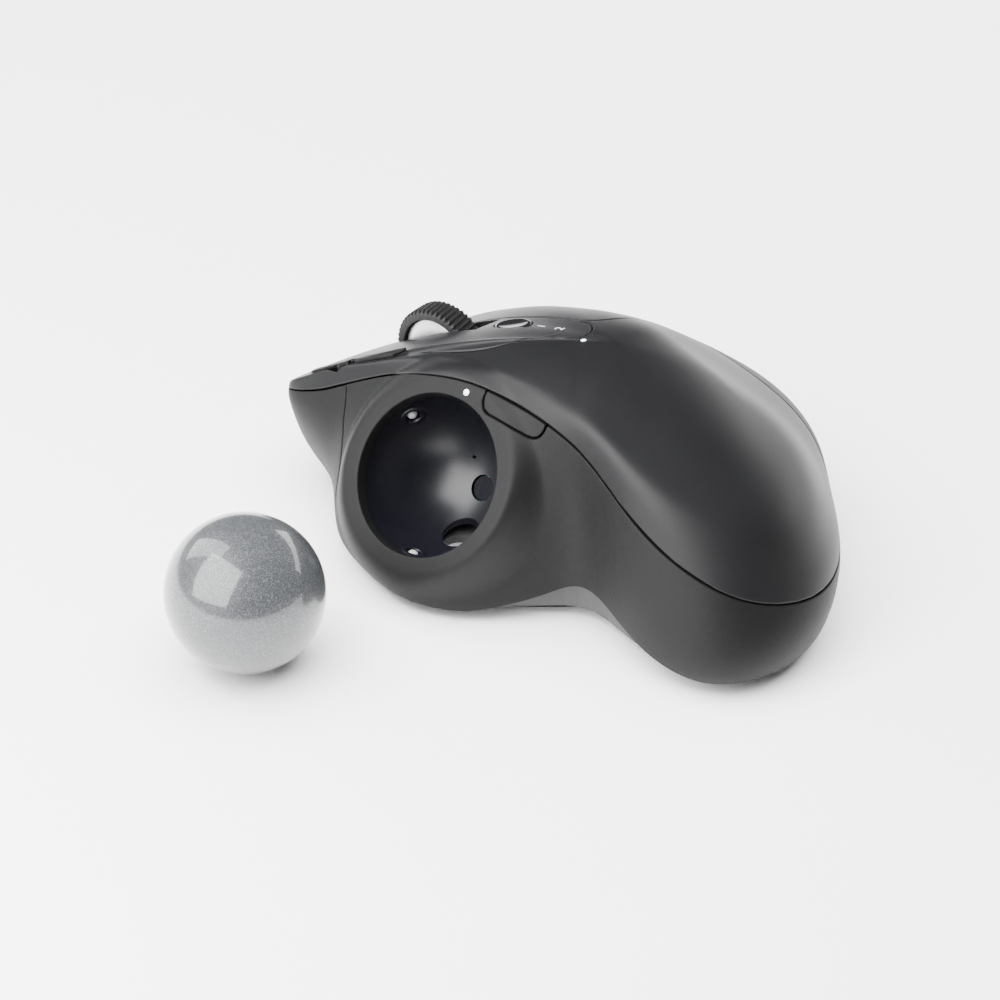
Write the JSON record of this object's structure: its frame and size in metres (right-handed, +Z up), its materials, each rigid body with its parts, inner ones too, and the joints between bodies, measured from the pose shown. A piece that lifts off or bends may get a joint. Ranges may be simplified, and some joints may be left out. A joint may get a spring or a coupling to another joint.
{
  "type": "thumb trackball mouse",
  "caption": "Right-hand wireless mouse with a thumb-driven ball, tilting steel base, scroll wheel and side keys, its ball out beside its socket.",
  "frame": {"origin": "on the underside of the rubber pad, below the middle of the body", "axes": "+Z up, +Y forward towards the ends of the two main buttons, +X to the right, away from the ball"},
  "size_m": [0.1475, 0.1343, 0.0514],
  "materials": {
    "soft_touch": "soft-touch paint, fine grain",
    "button_plastic": "satin moulded plastic",
    "dark_plastic": "matt moulded plastic, fine spark texture",
    "cup_plastic": "smooth satin plastic",
    "gloss_black": "polished black plastic",
    "ball_lacquer": "speckled grey under clear lacquer",
    "rubber": "matt rubber",
    "wheel_metal": "satin turned metal",
    "steel": "brushed steel",
    "bearing_ceramic": "polished ceramic",
    "light_pipe": "milky light pipe",
    "circuit_board": "green solder mask",
    "battery_wrap": "foil pouch",
    "sensor_glass": "dark clear window",
    "inner_plastic": "plain moulded plastic"
  },
  "bodies": {
    "base": {"base_plate": "steel", "base_pad": "rubber"},
    "mouse_body": {"palm_cover": "soft_touch", "spine_strip": "button_plastic", "front_bezel": "dark_plastic", "thumb_shell": "dark_plastic", "thumb_light_pipe": "light_pipe", "battery_light_pipe": "light_pipe", "bottom_shell": "inner_plastic", "rear_hinge_pin": "steel", "front_hinge_pin": "steel", "ball_cup": "cup_plastic", "front_bearing": "bearing_ceramic", "lower_bearing": "bearing_ceramic", "rear_bearing": "bearing_ceramic", "front_bearing_cap": "inner_plastic", "lower_bearing_cap": "inner_plastic", "rear_bearing_cap": "inner_plastic", "sensor_window": "sensor_glass", "sensor_board": "circuit_board", "rear_wheel_post": "inner_plastic", "front_wheel_post": "inner_plastic", "wheel_encoder": "inner_plastic", "main_board": "circuit_board", "radio_chip": "gloss_black", "power_chip": "gloss_black", "rear_left_board_post": "inner_plastic", "rear_right_board_post": "inner_plastic", "front_left_board_post": "inner_plastic", "front_right_board_post": "inner_plastic", "battery": "battery_wrap", "charge_port": "steel", "left_switch": "gloss_black", "left_switch_stand": "inner_plastic", "right_switch": "gloss_black", "right_switch_stand": "inner_plastic", "front_magnet": "steel", "rear_magnet": "steel"},
    "left_button": {"left_button": "button_plastic"},
    "right_button": {"right_button": "button_plastic"},
    "forward_button": {"forward_button": "dark_plastic"},
    "back_button": {"back_button": "dark_plastic"},
    "mode_button": {"mode_button": "gloss_black"},
    "precision_button": {"precision_button": "dark_plastic"},
    "power_slider": {"power_slider": "gloss_black"},
    "wheel_carriage": {"wheel_carriage": "inner_plastic"},
    "wheel_yoke": {"wheel_yoke": "inner_plastic"},
    "wheel": {"wheel_tread": "rubber", "wheel_rim": "wheel_metal", "wheel_axle": "steel"},
    "ball": {"ball": "ball_lacquer"}
  },
  "joints": [
    {"name": "tilt", "type": "hinge", "parent": "base", "child": "mouse_body", "pos_m": [0.012, 0, 0.006], "axis": [0, 1, 0], "range_deg": [0, 20]},
    {"name": "left_press", "type": "hinge", "parent": "mouse_body", "child": "left_button", "pos_m": [-0.01, 0.0135, 0.045], "axis": [-1, 0, 0], "range_deg": [0, 0.5], "stiffness_Nm_per_rad": 1, "springref_deg": -1.15},
    {"name": "right_press", "type": "hinge", "parent": "mouse_body", "child": "right_button", "pos_m": [0.015, 0.005, 0.0455], "axis": [-1, 0, 0], "range_deg": [0, 0.5], "stiffness_Nm_per_rad": 1, "springref_deg": -1.15},
    {"name": "forward_press", "type": "slide", "parent": "mouse_body", "child": "forward_button", "axis": [0, 0, -1], "range_m": [0, 0.0004], "stiffness_N_per_m": 300, "springref_m": -0.001},
    {"name": "back_press", "type": "slide", "parent": "mouse_body", "child": "back_button", "axis": [0, 0, -1], "range_m": [0, 0.0004], "stiffness_N_per_m": 300, "springref_m": -0.001},
    {"name": "mode_press", "type": "slide", "parent": "mouse_body", "child": "mode_button", "axis": [0, -0.3746, -0.9272], "range_m": [0, 0.0004], "stiffness_N_per_m": 300, "springref_m": -0.001},
    {"name": "precision_press", "type": "slide", "parent": "mouse_body", "child": "precision_button", "axis": [0.9942, 0.0284, -0.1034], "range_m": [0, 0.0005], "stiffness_N_per_m": 300, "springref_m": -0.001},
    {"name": "power_slide", "type": "slide", "parent": "mouse_body", "child": "power_slider", "axis": [1, 0, 0], "range_m": [0, 0.003]},
    {"name": "wheel_tilt", "type": "hinge", "parent": "mouse_body", "child": "wheel_carriage", "pos_m": [0, 0.044, 0.02], "axis": [0, 1, 0], "range_deg": [-3, 3], "stiffness_Nm_per_rad": 0.3},
    {"name": "wheel_press", "type": "slide", "parent": "wheel_carriage", "child": "wheel_yoke", "axis": [0, 0, -1], "range_m": [0, 0.0005], "stiffness_N_per_m": 600, "springref_m": -0.001},
    {"name": "wheel_spin", "type": "hinge", "parent": "wheel_yoke", "child": "wheel", "pos_m": [0, 0.044, 0.0285], "axis": [1, 0, 0], "continuous": true},
    {"name": "ball_seat", "type": "hinge", "parent": "mouse_body", "child": "ball", "pos_m": [-0.05355, 0.02711, -0.00262], "axis": [0.1671, 0.9658, 0.1983], "range_deg": [0, 91.86]}
  ]
}
